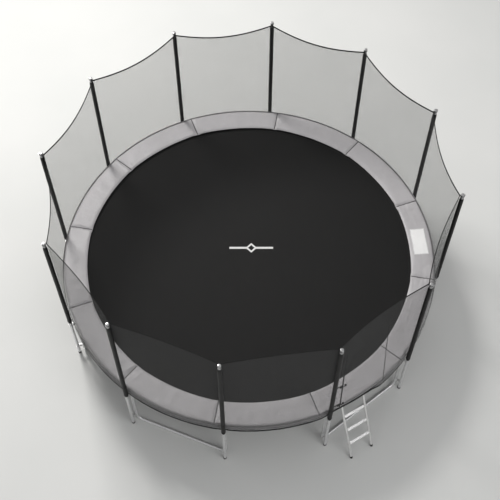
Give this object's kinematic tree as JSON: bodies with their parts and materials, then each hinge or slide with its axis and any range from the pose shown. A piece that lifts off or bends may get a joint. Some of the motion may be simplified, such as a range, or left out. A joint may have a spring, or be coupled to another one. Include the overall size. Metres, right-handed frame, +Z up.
{
  "type": "trampoline",
  "caption": "Round garden trampoline: a sprung mat in a padded tube ring on U-shaped legs, with a netted safety enclosure, a zipped door and a hook-on ladder.",
  "frame": {"origin": "on the ground at the centre of the ring", "axes": "+Z up; the entrance and its ladder are in the -Y half, towards +X; +X is to the right when looking along +Y"},
  "size_m": [4.9786, 4.9803, 2.7],
  "materials": {
    "galvanised_steel": "satin",
    "foam_sleeve": "matte",
    "ladder_steel": "satin",
    "black_plastic": "satin",
    "mat_weave": "matte",
    "spring_steel": "polished",
    "pad_vinyl": "satin",
    "patch": "matte",
    "netting": "matte",
    "rope": "matte"
  },
  "bodies": {
    "frame": {"blank_patch": "patch", "buckle_tray_lower": "black_plastic", "buckle_tray_upper": "black_plastic", "enclosure_net": "netting", "enclosure_pole_01": "foam_sleeve", "enclosure_pole_02": "foam_sleeve", "enclosure_pole_03": "foam_sleeve", "enclosure_pole_04": "foam_sleeve", "enclosure_pole_05": "foam_sleeve", "enclosure_pole_06": "foam_sleeve", "enclosure_pole_07": "foam_sleeve", "enclosure_pole_08": "foam_sleeve", "enclosure_pole_09": "foam_sleeve", "enclosure_pole_10": "foam_sleeve", "enclosure_pole_11": "foam_sleeve", "enclosure_pole_12": "foam_sleeve", "leg_base_1": "galvanised_steel", "leg_base_2": "galvanised_steel", "leg_base_3": "galvanised_steel", "leg_base_4": "galvanised_steel", "leg_base_5": "galvanised_steel", "leg_base_6": "galvanised_steel", "leg_upright_01": "galvanised_steel", "leg_upright_02": "galvanised_steel", "leg_upright_03": "galvanised_steel", "leg_upright_04": "galvanised_steel", "leg_upright_05": "galvanised_steel", "leg_upright_06": "galvanised_steel", "leg_upright_07": "galvanised_steel", "leg_upright_08": "galvanised_steel", "leg_upright_09": "galvanised_steel", "leg_upright_10": "galvanised_steel", "leg_upright_11": "galvanised_steel", "leg_upright_12": "galvanised_steel", "net_top_rope": "rope", "safety_pad": "pad_vinyl", "spring_set": "spring_steel", "top_rail_01": "galvanised_steel", "top_rail_02": "galvanised_steel", "top_rail_03": "galvanised_steel", "top_rail_04": "galvanised_steel", "top_rail_05": "galvanised_steel", "top_rail_06": "galvanised_steel", "top_rail_07": "galvanised_steel", "top_rail_08": "galvanised_steel", "top_rail_09": "galvanised_steel", "top_rail_10": "galvanised_steel", "top_rail_11": "galvanised_steel", "top_rail_12": "galvanised_steel"},
    "mat": {"jumping_mat": "mat_weave"},
    "ladder": {"ladder_rail_left": "ladder_steel", "ladder_rail_right": "ladder_steel", "ladder_rung_1": "ladder_steel", "ladder_rung_2": "ladder_steel", "ladder_rung_3": "ladder_steel"},
    "door": {"net_door": "netting"},
    "zip_slider": {"zip_slider": "black_plastic"},
    "clasp_lower": {"buckle_clasp_lower": "black_plastic"},
    "clasp_upper": {"buckle_clasp_upper": "black_plastic"}
  },
  "joints": [
    {"name": "mat_bounce", "type": "slide", "parent": "frame", "child": "mat", "axis": [0, 0, 1], "range_m": [-0.25, 0], "stiffness_N_per_m": 6000, "springref_m": 0.03, "deforming": ["spring_set"]},
    {"name": "ladder_swing", "type": "hinge", "parent": "frame", "child": "ladder", "pos_m": [1.23148, -2.05208, 0.935], "axis": [-0.8575, -0.5146, 0], "range_deg": [0, 45]},
    {"name": "door_swing", "type": "hinge", "parent": "frame", "child": "door", "pos_m": [1.62908, -1.83487, 1.01], "axis": [-0.0598, 0.0674, 0.9959], "range_deg": [0, 110]},
    {"name": "zip_slide", "type": "slide", "parent": "door", "child": "zip_slider", "axis": [-0.0159, 0.0324, 0.9993], "range_m": [0, 1.26]},
    {"name": "buckle_lower", "type": "slide", "parent": "door", "child": "clasp_lower", "axis": [0.9092, 0.4163, 0.001], "range_m": [0, 0.035]},
    {"name": "buckle_upper", "type": "slide", "parent": "door", "child": "clasp_upper", "axis": [0.9092, 0.4163, 0.001], "range_m": [0, 0.035]}
  ]
}
